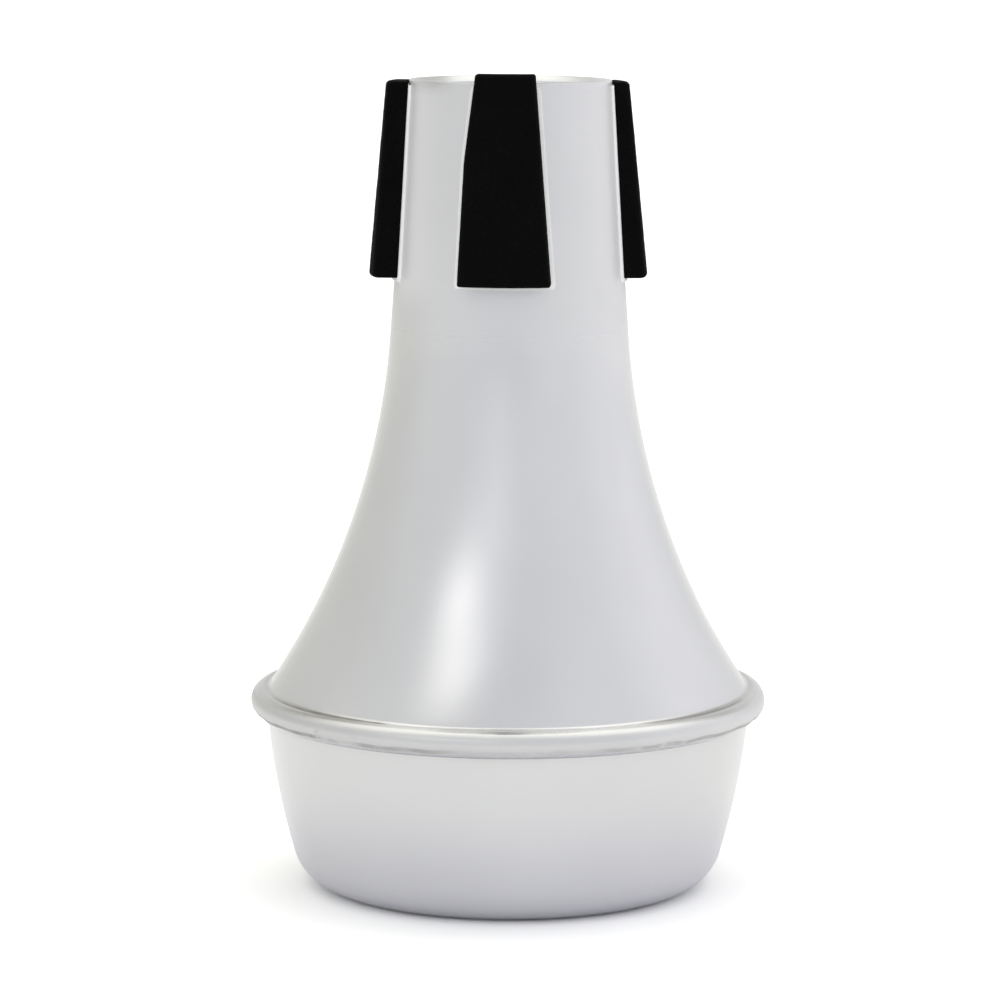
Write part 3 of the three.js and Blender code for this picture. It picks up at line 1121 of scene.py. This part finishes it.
def add_camera():
    """The camera, which looks down at the mute from the front."""
    data = bpy.data.cameras.new("camera")
    data.sensor_width = CAMERA_SENSOR
    data.lens = CAMERA_LENS
    data.clip_start, data.clip_end = CAMERA_CLIP
    camera = bpy.data.objects.new("camera", data)
    camera.matrix_world = (
        Matrix.Translation([length / METRE for length in CAMERA_PLACE])
        @ Matrix.Rotation(math.radians(90) - CAMERA_DIP, 4, "X")
        @ Matrix.Rotation(CAMERA_ROLL, 4, "Z")
    )
    bpy.context.scene.collection.objects.link(camera)
    bpy.context.scene.camera = camera


def studio_light(nodes, direction, panels):
    """The studio's light in a direction: an even tone, with each soft panel added to it."""
    light = STUDIO_TONE
    for azimuth, elevation, half_width, half_height, steepness, added in panels:
        turn, rise = math.radians(azimuth), math.radians(elevation)
        middle = Vector(
            (math.sin(turn) * math.cos(rise), -math.cos(turn) * math.cos(rise), math.sin(rise))
        )
        aside = Vector((math.cos(turn), math.sin(turn), 0.0))
        upward = middle.cross(aside)
        shares = []
        for axis, half in ((aside, half_width), (upward, half_height)):
            reach = nodes.dot(direction, axis / math.sin(math.radians(half)))
            shares.append(nodes.math("MULTIPLY", reach, reach))
        distance = nodes.math("POWER", nodes.math("ADD", shares[0], shares[1]), steepness)
        glow = nodes.math("EXPONENT", nodes.math("MULTIPLY", distance, -1.0))
        ahead = nodes.math("GREATER_THAN", nodes.dot(direction, middle), 0.0)
        glow = nodes.math("MULTIPLY", glow, ahead)
        light = nodes.add(
            "ShaderNodeVectorMath", {"operation": "MULTIPLY_ADD"}, {0: added, 1: glow, 2: light}
        ).outputs[0]
    return light


def add_world():
    world = bpy.data.worlds.new("studio")
    bpy.context.scene.world = world
    world.use_nodes = True
    nodes = Nodes(world.node_tree)
    direction = nodes.add("ShaderNodeTexCoord").outputs["Generated"]
    light = studio_light(nodes, direction, STUDIO_PANELS)
    background = nodes.add("ShaderNodeBackground", None, {"Color": light, "Strength": 1.0})
    nodes.add("ShaderNodeOutputWorld", None, {"Surface": background.outputs[0]})


def add_floor():
    """A white floor, whose colour far from the mute is painted with the studio's light and shade near
    the horizon.
    """
    bpy.ops.mesh.primitive_circle_add(vertices=FLOOR_SIDES, radius=FLOOR_RADIUS, fill_type="NGON")
    floor = bpy.context.object
    floor.name = "floor"
    material, nodes, place = new_material("pale_floor")
    distance = nodes.add("ShaderNodeVectorMath", {"operation": "LENGTH"}, {0: place}).outputs["Value"]
    outward = nodes.add("ShaderNodeVectorMath", {"operation": "NORMALIZE"}, {0: place}).outputs[0]
    far = nodes.spread(distance, *FLOOR_FADE, 0.0, 1.0, True)
    # Far from the mute the floor's colour is painted with the studio's light and shade
    tone = nodes.blend(far, FLOOR_TONE, studio_light(nodes, outward, HORIZON_PANELS))
    rays = nodes.add("ShaderNodeLightPath").outputs
    mirrored = nodes.math("MAXIMUM", rays["Is Glossy Ray"], rays["Is Transmission Ray"])
    # Close to the mute, mirrored rays see the floor darker and bluer: a painted contact shade
    painted_contact_shade = nodes.spread(distance, *FLOOR_PAINTED_SHADE_FADE, 1.0, 0.0, True)
    tone = nodes.blend(nodes.math("MULTIPLY", painted_contact_shade, mirrored), tone, FLOOR_PAINTED_SHADE_TONE)
    share = nodes.spread(mirrored, 0.0, 1.0, FLOOR_SHARE, FLOOR_MIRRORED_SHARE)
    seen = nodes.math("MULTIPLY", rays["Is Camera Ray"], FLOOR_SEEN_SHARE - FLOOR_SHARE)
    colour = nodes.scale(tone, nodes.math("ADD", share, seen))
    nodes.finish(nodes.add("ShaderNodeBsdfDiffuse", None, {"Color": colour}))
    floor.data.materials.append(material)


def dress(piece, node, materials):
    """Puts a piece in a node's place, with its materials."""
    for material in materials:
        piece.data.materials.append(material)
    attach(piece, "root")
    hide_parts(node)


add_camera()
add_world()
add_floor()

metals = [
    aluminium("satin_aluminium_spun", tone=(0.672, 0.674, 0.682), roughness=0.21, metallic=0.8),
    aluminium("plain_aluminium_inside", tone=(0.70, 0.70, 0.695), roughness=0.45, metallic=0.6),
]
dress(make_body(), "body_shell", metals)
dress(make_cup(), "base_cup", metals)
white_tape = tape()
black_foam = foam()
for pad in (FRONT_PAD, LEFT_PAD, RIGHT_PAD):
    dress(make_tape(pad), "tape_" + pad["place"], [white_tape])
    foam_pad = make_foam(pad)
    dress(foam_pad, "pad_" + pad["place"], [black_foam])

scene = bpy.context.scene
scene.view_settings.view_transform = "Standard"
